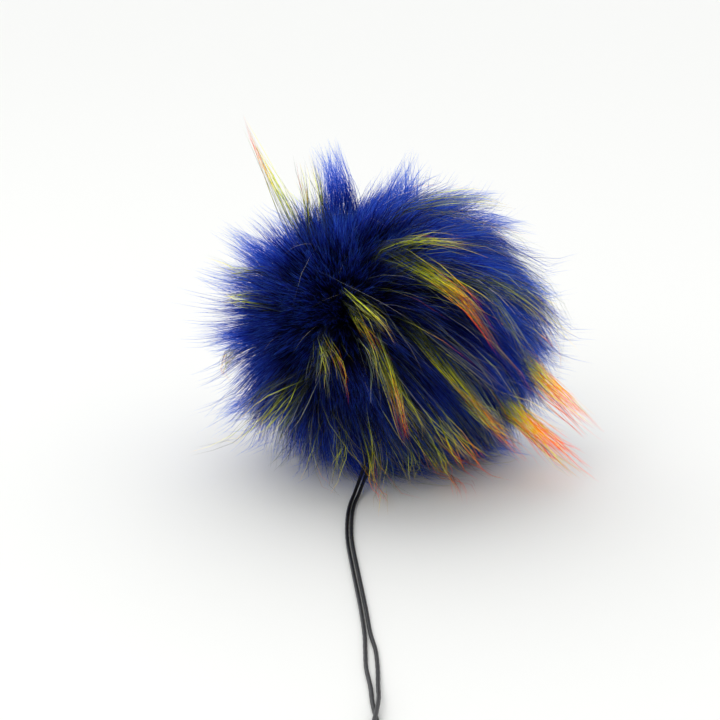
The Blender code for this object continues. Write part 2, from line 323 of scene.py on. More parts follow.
# Painted light and shade: round this way, at the front middle, the blue is painted darkest and turns bright
# latest along the fibres, while at the sides it is painted bright sooner, as if lit through. How late fibres
# turn bright there, at the sides and behind, and the radians between which that changes
SHADED_MIDDLE = (-0.22, 0.96, -0.14)
SHADED_LATE, RIM_LIT_LATE, BACK_LATE = 1.42, 0.52, 0.74
RIM_LIGHT_FROM, RIM_LIGHT_TO, BACK_LIGHT_AT = 0.6, 1.25, 2.3
STANDS_OUT = (
    # right, front and up of a way from the ball's centre; share by which fur is longer there; radians spanned
    (-10, 24, 50, -0.34, 0.16),
    (-10, 4, 56, -0.44, 0.17),
    (-10, -18, 52, -0.42, 0.18),
    (10, 26, -66, -0.26, 0.30),
    (45, 20, -54, -0.26, 0.28),
    (-35, 24, -56, -0.14, 0.25),
    (14, 6, 68, -0.20, 0.24),
    (46, 6, 50, -0.12, 0.28),
    (-40, 4, 46, -0.30, 0.19),
    (-64, 4, 36, 0.12, 0.16),
    (-52, 4, 48, -0.14, 0.10),
    (-74, 4, 2, 0.02, 0.25),
    (-70, 4, 20, -0.12, 0.08),
    (72, 4, -14, 0.05, 0.25),
    (66, 10, 24, -0.08, 0.18),
    (-60, 10, -40, 0.08, 0.20),
)

tuft_ways = even_ways(TUFTS, 0.35)
wisp_ways = even_ways(WISPS, 0.35)
strand_ways = even_ways(STRANDS, 0.45)
strand_ways = strand_ways[strand_ways @ MOUTH < math.cos(MOUTH_BARE)]
strand_tuft = nearest(strand_ways, tuft_ways)
strand_wisp = nearest(strand_ways, wisp_ways)
tuft_length = rng.uniform(*TUFT_LENGTHS, TUFTS)
wisp_length = rng.uniform(*WISP_LENGTHS, WISPS)
wisp_lean = rng.normal(size=(WISPS, 3)) * WISP_LEAN * MM
strand_lean = rng.normal(size=(len(strand_ways), 3)) * STRAND_LEAN * MM


def whorl_share(ways):
    """How much of the comb reaches this fur: it stands straight at the whorl and is swept further out."""
    from_whorl = angle_from(whorl, ways)[:, None]
    return WHORL_STANDS + (1.0 - WHORL_STANDS) * np.clip(from_whorl / WHORL_SPAN, 0.0, 1.0)


strand_tip = comb(strand_ways, whorl_share(strand_ways))
from_crown = angle_from(unit(from_front(*CROWN)), strand_tip)
tangle = 1.0 + CROWN_TANGLE * np.exp(-((from_crown / CROWN_SPAN) ** 2))
# painted light and shade: how late each strand's fibres turn bright blue, latest at the front middle
from_shaded_middle = angle_from(unit(from_front(*SHADED_MIDDLE)), strand_tip)
painted_light_late = np.interp(from_shaded_middle, (RIM_LIGHT_FROM, RIM_LIGHT_TO, BACK_LIGHT_AT),
                         (SHADED_LATE, RIM_LIT_LATE, BACK_LATE))
stands_out = np.ones(len(strand_ways))
for right, front, up, longer, width in STANDS_OUT:
    from_place = angle_from(unit(from_front(right, front, up)), strand_tip)
    stands_out += longer * np.exp(-((from_place / width) ** 2))
strand_length = (
    rng.uniform(*STRAND_LENGTHS, len(strand_ways)) * tuft_length[strand_tuft] * wisp_length[strand_wisp]
    * stands_out * UNDERFUR_SHARE
)


def grow_underfur(first, last):
    """The places of the fibres of these strands."""
    rows = np.repeat(np.arange(first, last), FIBRES_A_STRAND)
    root = unit(strand_ways[rows] + rng.normal(size=(len(rows), 3)) * ROOT_SCATTER)
    lean = rng.normal(size=(len(rows), 3)) * FIBRE_LEAN * MM
    length = strand_length[rows] * (FIBRE_SHORTEST + FIBRE_LONGER * rng.random(len(rows)) ** FEW_LONG)
    swept_more = whorl_share(root)
    stations = []
    for step in UNDERFUR_STEPS:
        draw = step ** DRAW_LATE
        way = root + STRAND_DRAW * draw * (strand_ways[rows] - root)
        way = way + WISP_DRAW * draw * (wisp_ways[strand_wisp[rows]] - way)
        way = unit(way + TUFT_DRAW * draw * (tuft_ways[strand_tuft[rows]] - way))
        share = (length * step)[:, None]
        swept = comb(way, np.minimum(share, 1.0) ** BEND * swept_more)
        place = BALL_CENTRE + swept * (BALL_RADIUS + (pile_reach(swept) - BALL_RADIUS) * share)
        stray = lean * tangle[rows][:, None] + strand_lean[rows] + wisp_lean[strand_wisp[rows]]
        stations.append(place + step ** LEAN_LATE * stray)
    return lie_on_surface(np.stack(stations, axis=1)), rows


def blue_shades(count):
    """Where each fibre lies across the UV map: darker at one side and lighter at the other."""
    return np.clip(BLUE_MIDDLE + BLUE_SPREAD * rng.normal(size=count), BLUE_EDGE, 1.0 - BLUE_EDGE)


# Dyed acrylic, drawn fine: little gloss, painted near black towards its roots as shade deep in the pile,
# painted bright blue at its ends as light, and clear enough that its ends glow royal blue where light comes
# through them
fur_blue = new_material("acrylic_underfur")
blue_place = add_node(fur_blue, "ShaderNodeUVMap", {"uv_map": "OFBake"})
blue_parts = add_node(fur_blue, "ShaderNodeSeparateXYZ", links={"Vector": blue_place.outputs[0]})
# painted shade and light along each fibre: near black at the root, bright blue at the tip
blue_ramp = add_node(fur_blue, "ShaderNodeValToRGB", links={"Fac": blue_parts.outputs["Y"]})
set_ramp(blue_ramp, ((0.0, "#0e0e26"), (0.45, "#11112f"), (0.66, "#151740"), (0.84, "#202a80"),
                     (0.93, "#2e50e2"), (1.0, "#4e88ff")))
blue_depth = add_node(fur_blue, "ShaderNodeMapRange", {"To Min": 0.6, "To Max": 1.3},
                      {"Value": blue_parts.outputs["X"]})
blue_shaded = add_node(fur_blue, "ShaderNodeVectorMath", {"operation": "SCALE"},
                       {"Vector": blue_ramp.outputs[0], "Scale": blue_depth.outputs[0]})
blue_surface = add_node(fur_blue, "ShaderNodeBsdfPrincipled", {"Roughness": 0.55, "Specular IOR Level": 0.14},
                        {"Base Color": blue_shaded.outputs[0]})
# the light through each fibre is painted too: near black towards the root, pale blue at the tip
blue_glow = add_node(fur_blue, "ShaderNodeValToRGB", links={"Fac": blue_parts.outputs["Y"]})
set_ramp(blue_glow, ((0.0, "#03030c"), (0.55, "#080c30"), (0.72, "#243cd0"), (0.86, "#3a74ff"),
                     (1.0, "#84b6ff")))
blue_through = add_node(fur_blue, "ShaderNodeBsdfTranslucent", links={"Color": blue_glow.outputs[0]})
finish_material(fur_blue, add_node(
    fur_blue, "ShaderNodeMixShader", {0: 0.62}, {1: blue_surface.outputs[0], 2: blue_through.outputs[0]},
))

UNDERFUR_PIECES = 4
cuts = np.linspace(0, len(strand_ways), UNDERFUR_PIECES + 1).astype(int)
for number, (first, last) in enumerate(zip(cuts, cuts[1:]), 1):
    places, rows = grow_underfur(first, last)
    grow_fibres(f"underfur_{number}", places, UNDERFUR_WIDTHS, blue_shades(len(rows)), BLUE_STRIP, fur_blue,
                late=painted_light_late[rows][:, None])

# ---- Guard locks ----
# The real piece is longer, coarser acrylic guard hair, stuck together in pointed locks that lie over the
# blue. Each hair is dyed along its length: smoky green, or green to lime and yellow, or on to orange and red.
# Towards its root it is painted near black, as shade where it goes down into the blue.

DYE_BAND = 0.25  # of the UV map's width, for each of smoke, lime, flame and pale hair
DYE_PLACES = (np.arange(4) + 0.5) * DYE_BAND
DYE_SPAN = 0.2  # the part of its band that a dye's hairs use
GUARD_STRIP = 0.006  # a hair's half width on the UV map
SMOKE = (0.84, 0.07, 0.00, 0.09)  # a lock's shares of smoke, lime, flame and pale hair
LIME = (0.36, 0.54, 0.03, 0.07)
FLAME = (0.26, 0.22, 0.46, 0.06)
BRUSH = (0.04, 0.28, 0.64, 0.04)
PALE = (0.25, 0.25, 0.00, 0.50)
STRAW = (0.04, 0.68, 0.26, 0.02)
FRONT_LOCKS = (
    # kind, strands, half width at the root and at the tip, then four places along it as seen from the front,
    # each (right, up): all in mm
    (FLAME, 12, 3.8, 1.3, (-2, 27), (14, 19), (31, 6), (50, -19)),
    (LIME, 9, 2.8, 1.8, (-2, 28), (13, 31), (27, 29), (40, 26)),
    (FLAME, 6, 3.4, 1.6, (6, 26), (21, 18), (33, 9), (42, 2)),
    (SMOKE, 5, 5.0, 4.6, (14, 23), (26, 20), (45, 14), (71, -3)),
    (SMOKE, 7, 3.8, 3.2, (22, 18), (36, 13), (47, -3), (59, -21)),
    (LIME, 3, 3.2, 3.6, (33, 18), (49, 12), (66, 2), (80, -8)),
    (FLAME, 3, 3.0, 4.0, (46, 18), (57, 14), (70, 8), (82, 3)),
    (FLAME, 3, 3.0, 4.0, (48, 4), (60, -2), (71, -9), (83, -17)),
    (LIME, 4, 2.4, 2.4, (0, 41), (16, 47), (35, 49), (53, 50)),
    (SMOKE, 4, 2.4, 2.0, (8, 42), (22, 42), (38, 36), (49, 32)),
    (PALE, 2, 6.0, 8.0, (8, 4), (22, -8), (37, -20), (54, -34)),
    (LIME, 8, 2.0, 1.0, (-25, -5), (-23, -11), (-21, -20), (-19, -30)),
    (SMOKE, 4, 1.6, 1.2, (-25, -5), (-26, -13), (-27, -20), (-28, -29)),
    (FLAME, 5, 1.8, 1.0, (-23, -5), (-19, -12), (-16, -21), (-14, -31)),
    (LIME, 8, 2.2, 1.2, (-15, 11), (-8, 6), (-1, -1), (5, -11)),
    (FLAME, 6, 2.4, 1.2, (-14, 7), (-7, -2), (-1, -10), (6, -17)),
    (SMOKE, 7, 3.4, 2.8, (-12, 2), (-6, -9), (-3, -21), (0, -35)),
    (FLAME, 9, 2.8, 1.3, (-4, -5), (1, -18), (6, -35), (10, -48)),
    (LIME, 5, 3.0, 1.8, (1, -15), (6, -27), (12, -36), (17, -48)),
    (SMOKE, 3, 3.6, 3.6, (6, -1), (21, -11), (33, -27), (50, -47)),
    (FLAME, 10, 2.0, 1.0, (9, 0), (22, -17), (37, -34), (54, -49)),
    (SMOKE, 2, 3.0, 3.0, (20, -17), (30, -27), (48, -41), (61, -51)),
    (FLAME, 6, 3.6, 3.0, (8, -35), (16, -46), (25, -62), (32, -74)),
    (LIME, 5, 3.4, 2.6, (-32, -22), (-38, -28), (-45, -36), (-52, -47)),
    (SMOKE, 6, 3.0, 2.4, (-30, -23), (-34, -31), (-39, -38), (-45, -48)),
    (SMOKE, 6, 3.8, 3.4, (-33, -20), (-43, -25), (-53, -34), (-59, -41)),
    (PALE, 5, 3.0, 4.0, (-47, -32), (-56, -39), (-67, -48), (-79, -52)),
    (LIME, 6, 4.0, 4.0, (-44, 18), (-59, 21), (-66, 25), (-73, 28)),
    (LIME, 6, 3.6, 3.6, (-45, 9), (-57, 10), (-68, 9), (-77, 8)),
    (SMOKE, 4, 3.8, 3.8, (-25, -34), (-26, -44), (-29, -57), (-32, -66)),
    (LIME, 4, 4.0, 3.8, (-17, -35), (-17, -46), (-19, -59), (-20, -70)),
    (FLAME, 6, 4.0, 3.8, (-8, -37), (-5, -47), (-3, -63), (-1, -74)),
    (SMOKE, 3, 4.0, 3.8, (-3, -38), (0, -48), (4, -63), (8, -73)),
    (SMOKE, 4, 3.8, 3.8, (-32, -32), (-37, -43), (-42, -53), (-46, -62)),
    (LIME, 3, 3.8, 3.8, (3, -38), (8, -48), (12, -61), (15, -72)),
)
STANDING_LOCKS = (
    # kind, strands, half width at the root and at the tip, front, then three places, each (right, up)
    (LIME, 5, 2.0, 1.8, 26, (-30, 32), (-36, 46), (-41, 59)),
    (STRAW, 7, 0.8, 0.5, 26, (-33, 31), (-44, 54), (-56, 83)),
    (LIME, 8, 1.8, 1.8, 34, (-28, 34), (-31, 52), (-36, 77)),
    (LIME, 7, 2.2, 1.6, 34, (-23, 34), (-26, 50), (-30, 69)),
)
BRUSHES = (
    # the ends at the right that stand past the blue: strands, half widths and places as above
    (22, 3.0, 5.2, (55, -12), (65, -22), (76, -34), (88, -47)),
    (28, 3.2, 5.8, (50, -31), (60, -40), (71, -50), (85, -62)),
    (6, 2.4, 3.0, (34, -32), (42, -40), (52, -49), (62, -59)),
    (5, 3.8, 6.5, (18, -34), (28, -46), (40, -58), (50, -68)),
)
BRUSH_LATE = 0.63  # under 1: painted light, so that hair standing against the light is bright further down
BRUSH_BRIGHT, BRUSH_SWAY = 0.30, 2.4  # the least brightness, raised as painted light; mm by which the hairs wander
LOCK_REACH = (60.0, 65.0, 68.5, 70.5)  # mm from the ball's centre, where there is pile under it
LOCK_EDGE, BRUSH_EDGE = 5.0, 20.0  # mm by which hair past the outline is in front of the ball's middle
LOCK_CLEARS = 0.9  # mm by which a lock's middle line stays over the surface
CLOTH_LEAN, RISE_LEAN = 0.30, 0.12  # towards the whorl, at the cloth and above it
RISE_HEIGHT = 0.014  # m above the cloth
LOCK_EMERGES = 0.062  # m from the ball's centre: where a lock comes out of the blue
SHADED_UNTIL = 0.53  # how far along the ramps the hair is there: painted shade, near black
HIDDEN_LEAST, HIDDEN_MOST = 0.2, 0.75  # the share of a hair that is taken to lie under the blue
CURVE_STEPS = 20  # from one given point to the next
COMBED_STEPS = 7
COMBED_BEND, COMBED_RISE = 1.35, 1.5  # how late a combed lock bends over, how soon it rises
HAIRS_A_LOCK_STRAND = 5
LOCK_SHARES = np.linspace(0.0, 1.0, 9)
LOCK_WIDTHS = np.array((0.13, 0.14, 0.15, 0.16, 0.16, 0.16, 0.15, 0.11, 0.0)) * MM / 2
BRUSH_WIDTHS = np.array((0.14, 0.16, 0.18, 0.20, 0.21, 0.21, 0.20, 0.16, 0.0)) * MM / 2
STRAND_ENDS, HAIR_ENDS = (0.76, 1.04), (0.80, 1.0)  # how far strands go along the lock, and hairs along them
ROOT_FAN = 1.5  # how much wider than its own width a lock's hairs start
LOCK_FLAT = 0.5  # its thickness, as a share of its width
TOGETHER_LATE = 1.3  # how late along it the hairs come together
ODD_HAIRS = 0.25  # the share of hairs that aren't dyed as their strand is
HAIR_APART, HAIR_SWAY = 1.15, 1.40  # mm: a hair from the middle of its strand, and how far it wanders
SWAY_TURNS, CRINKLE_TURNS = (0.7, 1.5), (3, 5)  # half waves along a hair
CRINKLE = 0.30  # small bends along a hair, as a share of its sway
HAIR_SUNK = 5.0  # mm: how much deeper than the top ones a lock's lowest strands start
SUNK_SHARES = (0.6, 1.0)  # how much of that the hairs of one strand are sunk
ROOT_BACK, ROOT_FORTH = -4.0, 11.0  # mm along the lock between which its hairs start
SUNK_SOON, FORTH_SOON = 1.3, 1.2  # how soon along the lock they come up and come into line


def curve_through(points, shares):
    """Points at these shares of the way along the smooth curve through the given ones."""
    padded = np.concatenate((2 * points[:1] - points[1:2], points, 2 * points[-1:] - points[-2:-1]))
    spans = []
    ways = np.linspace(0.0, 1.0, CURVE_STEPS, endpoint=False)[:, None]
    for before, start, end, after in zip(padded, padded[1:], padded[2:], padded[3:]):
        spans.append(0.5 * (
            2 * start + (end - before) * ways
            + (2 * before - 5 * start + 4 * end - after) * ways ** 2
            + (3 * start - before - 3 * end + after) * ways ** 3
        ))
    fine = np.vstack((*spans, points[-1:]))
    travelled = np.concatenate(([0.0], np.cumsum(np.linalg.norm(np.diff(fine, axis=0), axis=1))))
    stops = np.asarray(shares) * travelled[-1]
    return np.stack([np.interp(stops, travelled, column) for column in fine.T], axis=-1)


def front_lock_line(spots, edge=LOCK_EDGE):
    """The middle line of a lock: out of the cloth, up through the pile and over it through its four spots."""
    line = []
    for (right, up), reach in zip(spots, LOCK_REACH):
        front = math.sqrt(max(reach ** 2 - right ** 2 - up ** 2, edge ** 2))
        off_surface = BALL_CENTRE[2] / MM + up * math.cos(VIEW_RISE) + front * math.sin(VIEW_RISE)
        front += max(LOCK_CLEARS - off_surface, 0.0) / math.sin(VIEW_RISE)
        line.append(from_front(right, front, up) * MM)
    root = unit(unit(line[0]) + CLOTH_LEAN * whorl)
    rise = unit(unit(line[0]) + RISE_LEAN * whorl)
    return BALL_CENTRE + np.array((root * BALL_RADIUS, rise * (BALL_RADIUS + RISE_HEIGHT), *line))


def standing_line(front, spots):
    """The middle line of hair that stands straight out of the cloth, through spots this far in front."""
    line = np.array([from_front(right, front, up) for right, up in spots]) * MM
    return BALL_CENTRE + np.vstack((unit(line[:1]) * BALL_RADIUS, line))


def combed_line(way, length, more):
    """The middle line of hair that rises here and bends over. Its length is a share of the pile's depth."""
    steps = np.linspace(0.0, 1.0, COMBED_STEPS)[:, None]
    swept = comb(np.broadcast_to(way, (COMBED_STEPS, 3)), (steps * length) ** COMBED_BEND * more)
    rise = (1.0 - (1.0 - steps) ** COMBED_RISE) * length
    return BALL_CENTRE + swept * (BALL_RADIUS + (pile_reach(swept) - BALL_RADIUS) * rise)


def ripples(count, turns):
    """A wave along each of these hairs, with a number of half waves between these two and any start."""
    own_turns = rng.uniform(*turns, (count, 1))
    return np.sin(own_turns * LOCK_SHARES * math.pi + rng.uniform(0, 6.3, (count, 1)))


def grow_lock(line, strands, root_width, tip_width, hairs_a_strand, sway=HAIR_SWAY):
    """The hairs of one lock, and how far along its line each of them ends. They start apart, each by itself
    and some deeper than others, with dark gaps between them. They come together in strands, and each strand
    has its own place across the lock's tip."""
    count = strands * hairs_a_strand
    strand_of = np.repeat(np.arange(strands), hairs_a_strand)
    ends = rng.uniform(*STRAND_ENDS, strands)[strand_of] * rng.uniform(*HAIR_ENDS, count)
    middle = np.stack([curve_through(line, np.minimum(LOCK_SHARES * end, 1.0)) for end in ends])
    along = unit(np.gradient(middle, axis=1))
    side = unit(np.cross(along, unit(middle - BALL_CENTRE)) + 1e-6)  # not zero where a lock goes straight out
    lift = np.cross(side, along)
    root_aside = rng.uniform(-1.0, 1.0, count) * root_width * ROOT_FAN
    apart = min(HAIR_APART, tip_width)  # the hairs of a very thin lock keep closer and straighter
    sway *= apart / HAIR_APART
    tip_aside = rng.uniform(-1.0, 1.0, strands)[strand_of] * tip_width + rng.normal(size=count) * apart
    tip_above = rng.uniform(-LOCK_FLAT, LOCK_FLAT, strands)[strand_of] * tip_width
    tip_above += rng.normal(size=count) * apart
    together = LOCK_SHARES ** TOGETHER_LATE
    waves = ripples(count, SWAY_TURNS)
    waves += CRINKLE * ripples(count, CRINKLE_TURNS)
    sunk = HAIR_SUNK * (rng.random(strands)[strand_of] * rng.uniform(*SUNK_SHARES, count))[:, None]
    aside = root_aside[:, None] * (1.0 - together) + tip_aside[:, None] * together
    aside += sway * LOCK_SHARES * waves
    above = tip_above[:, None] * together - sunk * (1.0 - LOCK_SHARES) ** SUNK_SOON
    outward = unit(line[1] - BALL_CENTRE)
    lies_along = unit(line[-1] - line[1] - ((line[-1] - line[1]) @ outward) * outward)
    forth = rng.uniform(ROOT_BACK, ROOT_FORTH, (count, 1))
    forth = forth * np.sin(math.pi * (1.0 - LOCK_SHARES) ** FORTH_SOON)
    places = middle + MM * (aside[..., None] * side + above[..., None] * lift + forth[..., None] * lies_along)
    return places, ends


def painted_shade_late(line, ends):
    """How late the colours come along these hairs, so that painted shade keeps them dark where their lock
    leaves the blue.
    """
    fine = curve_through(line, np.linspace(0.0, 1.0, 100))
    hidden = (np.linalg.norm(fine - BALL_CENTRE, axis=1) < LOCK_EMERGES).mean()
    return math.log(SHADED_UNTIL) / np.log(np.clip(hidden / ends, HIDDEN_LEAST, HIDDEN_MOST))[:, None]


def pick_dyes(blend, strands, hairs_a_strand, bright=0.0):
    """A dye for each strand by the blend's shares, with odd hairs of another in it, and each hair's own place
    in that dye's band: most are dark, and none is darker than bright allows."""
    count = strands * hairs_a_strand
    shared_out = np.searchsorted(np.cumsum(blend)[:-1], (np.arange(strands) + rng.random()) / strands)
    kinds = np.repeat(rng.permutation(shared_out), hairs_a_strand)
    odd = rng.random(count) < ODD_HAIRS
    kinds[odd] = rng.choice(len(blend), size=odd.sum(), p=blend)
    own_place = bright + (1.0 - bright) * rng.random(count) ** 2
    return DYE_PLACES[kinds] - DYE_SPAN / 2 + DYE_SPAN * own_place


lock_fibres, lock_dyes, lock_late = [], [], []
front_lines = [(*row[:4], front_lock_line(row[4:])) for row in FRONT_LOCKS]
front_lines += [(*row[:4], standing_line(row[4], row[5:])) for row in STANDING_LOCKS]
for blend, strands, root_width, tip_width, line in front_lines:
    places, ends = grow_lock(line, strands, root_width, tip_width, HAIRS_A_LOCK_STRAND)
    lock_fibres.append(places)
    lock_dyes.append(pick_dyes(blend, strands, HAIRS_A_LOCK_STRAND))
    lock_late.append(painted_shade_late(line, ends))

ROUND_LOCKS = 190
ROUND_LENGTHS, ROUND_COMBED = (1.02, 1.2), 1.1
ROUND_STRANDS = (6, 11)  # from the first up to one under the second
ROUND_WIDTHS, ROUND_TAPER = (2.4, 4.4), 0.7  # mm, half, at the root; the tip's share of it
BEHIND_RIM = -0.25  # how far behind the ball's middle their tips are at least, as a share of the way out
LOW_TIP, LOW_BRIGHT, LOW_FLAME = -0.1, 0.8, 0.45  # tips under this: the share not smoky, the share flame
PARTING = (-0.04, 0.05, 1.0)  # right, front, up
PARTING_CLEAR = 0.38  # radians round the parting at the top where no round lock or loose hair ends
parting = unit(from_front(*PARTING))
for way in even_ways(ROUND_LOCKS, 0.5):
    line = combed_line(way, rng.uniform(*ROUND_LENGTHS), ROUND_COMBED)
    tip = unit(line[-1] - BALL_CENTRE)
    seen_in_front = tip @ from_front(0.0, 1.0, 0.0)
    kind_draw, strand_draw = rng.random(), rng.integers(*ROUND_STRANDS)
    at_mouth = way @ MOUTH > math.cos(MOUTH_BARE)
    in_parting = tip @ parting > math.cos(PARTING_CLEAR)
    if seen_in_front > BEHIND_RIM or at_mouth or in_parting:
        continue
    if tip[2] < LOW_TIP and kind_draw < LOW_BRIGHT:
        blend = FLAME if kind_draw < LOW_FLAME else LIME
    else:
        blend = (FLAME, LIME, SMOKE, SMOKE)[int(kind_draw * 4)]
    root_width = rng.uniform(*ROUND_WIDTHS)
    places, ends = grow_lock(line, strand_draw, root_width, ROUND_TAPER * root_width, HAIRS_A_LOCK_STRAND)
    lock_fibres.append(places)
    lock_dyes.append(pick_dyes(blend, strand_draw, HAIRS_A_LOCK_STRAND))
    lock_late.append(painted_shade_late(line, ends))
lock_fibres = lie_on_surface(np.concatenate(lock_fibres))
lock_dyes = np.concatenate(lock_dyes)

# Coarser acrylic, dyed in bands along its length, some hairs deeper than others, and painted near black
# towards the root as shade in the blue: a clear gloss along each hair, and a little light through it
guard_dyed = new_material("acrylic_guard_hair")
guard_place = add_node(guard_dyed, "ShaderNodeUVMap", {"uv_map": "OFBake"})
guard_parts = add_node(guard_dyed, "ShaderNodeSeparateXYZ", links={"Vector": guard_place.outputs[0]})
# each ramp starts near black: painted shade where the hair lies down in the blue
DYES_AND_SHADE = (
    ((0.0, "#030409"), (0.44, "#0b0f16"), (0.62, "#202b2a"), (0.82, "#72836a"), (1.0, "#bcb99c")),
    ((0.0, "#030409"), (0.44, "#10160f"), (0.58, "#55622a"), (0.71, "#dcea38"), (0.90, "#fff05a"),
     (1.0, "#f8a850")),
    ((0.0, "#030409"), (0.44, "#10160f"), (0.58, "#566322"), (0.70, "#e6e628"), (0.80, "#ffac18"),
     (0.90, "#ff6008"), (1.0, "#f03004")),
    ((0.0, "#0c0e15"), (0.44, "#3c454c"), (0.7, "#a2a69a"), (1.0, "#d8ccba")),
)
dyed = None
for band, stops in enumerate(DYES_AND_SHADE):
    ramp = add_node(guard_dyed, "ShaderNodeValToRGB", links={"Fac": guard_parts.outputs["Y"]})
    set_ramp(ramp, stops)
    if dyed is None:
        dyed = ramp.outputs[0]
        continue
    past = add_node(guard_dyed, "ShaderNodeMath", {"operation": "GREATER_THAN", 1: band * DYE_BAND},
                    {0: guard_parts.outputs["X"]})
    mixed = add_node(guard_dyed, "ShaderNodeMix", {"data_type": "RGBA"},
                     {0: past.outputs[0], 6: dyed, 7: ramp.outputs[0]})
    dyed = mixed.outputs[2]
guard_bands = add_node(guard_dyed, "ShaderNodeMath", {"operation": "DIVIDE", 1: DYE_BAND},
                       {0: guard_parts.outputs["X"]})
guard_own = add_node(guard_dyed, "ShaderNodeMath", {"operation": "FRACT"}, {0: guard_bands.outputs[0]})
guard_depth = add_node(guard_dyed, "ShaderNodeMapRange",
                       {"From Min": 0.1, "From Max": 0.9, "To Min": 0.50, "To Max": 2.10},
                       {"Value": guard_own.outputs[0]})
guard_shaded = add_node(guard_dyed, "ShaderNodeVectorMath", {"operation": "SCALE"},
                        {"Vector": dyed, "Scale": guard_depth.outputs[0]})
guard_surface = add_node(guard_dyed, "ShaderNodeBsdfPrincipled",
                         {"Roughness": 0.38, "Specular IOR Level": 0.24},
                         {"Base Color": guard_shaded.outputs[0]})
guard_through = add_node(guard_dyed, "ShaderNodeBsdfTranslucent", links={"Color": guard_shaded.outputs[0]})
finish_material(guard_dyed, add_node(
    guard_dyed, "ShaderNodeMixShader", {0: 0.35}, {1: guard_surface.outputs[0], 2: guard_through.outputs[0]},
))
grow_fibres("guard_locks", lock_fibres, LOCK_WIDTHS, lock_dyes, GUARD_STRIP, guard_dyed,
            spread=0.16, late=np.concatenate(lock_late))

brush_fibres, brush_dyes = [], []
for strands, root_width, tip_width, *spots in BRUSHES:
    line = front_lock_line(spots, BRUSH_EDGE)
    places, _ = grow_lock(line, strands, root_width, tip_width, HAIRS_A_LOCK_STRAND, BRUSH_SWAY)
    brush_fibres.append(places)
    brush_dyes.append(pick_dyes(BRUSH, strands, HAIRS_A_LOCK_STRAND, BRUSH_BRIGHT))
brush_fibres = lie_on_surface(np.concatenate(brush_fibres))
grow_fibres("flame_brushes", brush_fibres, BRUSH_WIDTHS, np.concatenate(brush_dyes), GUARD_STRIP, guard_dyed,
            spread=0.14, late=BRUSH_LATE)

# ---- Blue tufts ----
# The real piece is the same blue under-fur where it stands in long tufts past the ball's outline, with white
# gaps between their hairs. Their roots are knitted in with the rest.

BLUE_TUFTS = (
    # strands, half width at the root and at the tip, front, then three places from root to tip, each
    # (right, up): all in mm
    (52, 3.4, 7.4, 8, (-20, 42), (-21, 57), (-23, 76)),
    (34, 3.8, 9.8, 6, (0, 44), (7, 56), (17, 71)),
    (18, 3.4, 5.0, 6, (19, 48), (34, 54), (50, 54)),
    (18, 3.4, 5.4, 8, (36, 43), (50, 42), (63, 38)),
    (24, 3.6, 5.4, 6, (-48, 29), (-58, 34), (-67, 38)),
    (8, 3.2, 5.0, 6, (-34, 36), (-42, 44), (-48, 52)),
    (18, 3.4, 5.4, 6, (-58, 17), (-68, 21), (-76, 25)),
    (22, 3.6, 6.0, 6, (-60, -5), (-70, -5), (-78, -7)),
    (18, 3.6, 5.4, 8, (-54, -28), (-64, -34), (-71, -40)),
    (18, 3.6, 5.4, 8, (60, -7), (69, -9), (76, -13)),
    (18, 3.6, 5.4, 8, (56, -22), (65, -27), (72, -32)),
    (18, 3.4, 5.4, 8, (52, 18), (62, 17), (72, 14)),
)
HAIRS_A_TUFT_STRAND = 7
TUFT_LATE = 0.50  # painted light: thin fur that stands against the light is painted bright further down
TUFT_WIDTHS = np.array((0.26, 0.26, 0.24, 0.22, 0.19, 0.16, 0.13, 0.09, 0.0)) * MM / 2
tuft_fibres = []
for strands, root_width, tip_width, front, *spots in BLUE_TUFTS:
    places, _ = grow_lock(standing_line(front, spots), strands, root_width, tip_width, HAIRS_A_TUFT_STRAND)
    tuft_fibres.append(places)
tuft_fibres = lie_on_surface(np.concatenate(tuft_fibres))
grow_fibres("blue_tufts", tuft_fibres, TUFT_WIDTHS, blue_shades(len(tuft_fibres)), BLUE_STRIP, fur_blue,
            late=TUFT_LATE)

# ---- Loose guard hair ----
# The real piece is the same guard hair where it isn't stuck in locks: thin strands all over the ball, which
# rise out of the blue, bend over and end beyond it, and a few pale hairs that have sprung across it.

GUARD_STRANDS, FIBRES_A_GUARD_STRAND = 2600, 3
GUARD_STEPS = np.linspace(0.0, 1.0, 7)
GUARD_WIDTHS = np.array((0.14, 0.15, 0.15, 0.14, 0.12, 0.08, 0.0)) * MM / 2
LOOSE = (0.70, 0.12, 0.06, 0.12)  # shares of smoke, lime, flame and pale hair, as for a lock
FRONT_FROM = 0.2  # how far in front of the ball's middle, as a share of the way out
FRONT_KEEPS, ELSEWHERE_KEEPS = 0.32, 0.75  # the share of loose strands that isn't stuck in locks
WHORL_CLEAR = 0.65  # radians round the whorl where none stands
LOOSE_SHORTEST, LOOSE_LONGER = 0.88, 0.46  # of the pile's depth
LOOSE_HAIR_LENGTHS = (0.84, 1.0)  # of its strand's
LOOSE_SCATTER = 0.09  # radians by which hairs start away from their strand's middle
LOOSE_DRAW, LOOSE_DRAW_LATE = 0.6, 1.2  # how far hairs gather at their strand's tip, and how late
LOOSE_BEND = 1.35  # how late they bend over and how soon they rise
LOOSE_LEAN, LOOSE_STRAY, LOOSE_LATE = 2.4, 1.3, 1.6  # mm by which strands and hairs stray, and how late
guard_ways = even_ways(GUARD_STRANDS, 0.6)
guard_tips = comb(guard_ways, 1.0)
in_front = guard_tips @ from_front(0.0, 1.0, 0.0) > FRONT_FROM
kept = rng.random(len(guard_ways)) < np.where(in_front, FRONT_KEEPS, ELSEWHERE_KEEPS)
kept &= guard_tips @ parting < math.cos(PARTING_CLEAR)
kept &= guard_ways @ MOUTH < math.cos(MOUTH_BARE)
kept &= guard_ways @ whorl < math.cos(WHORL_CLEAR)
guard_ways = guard_ways[kept]
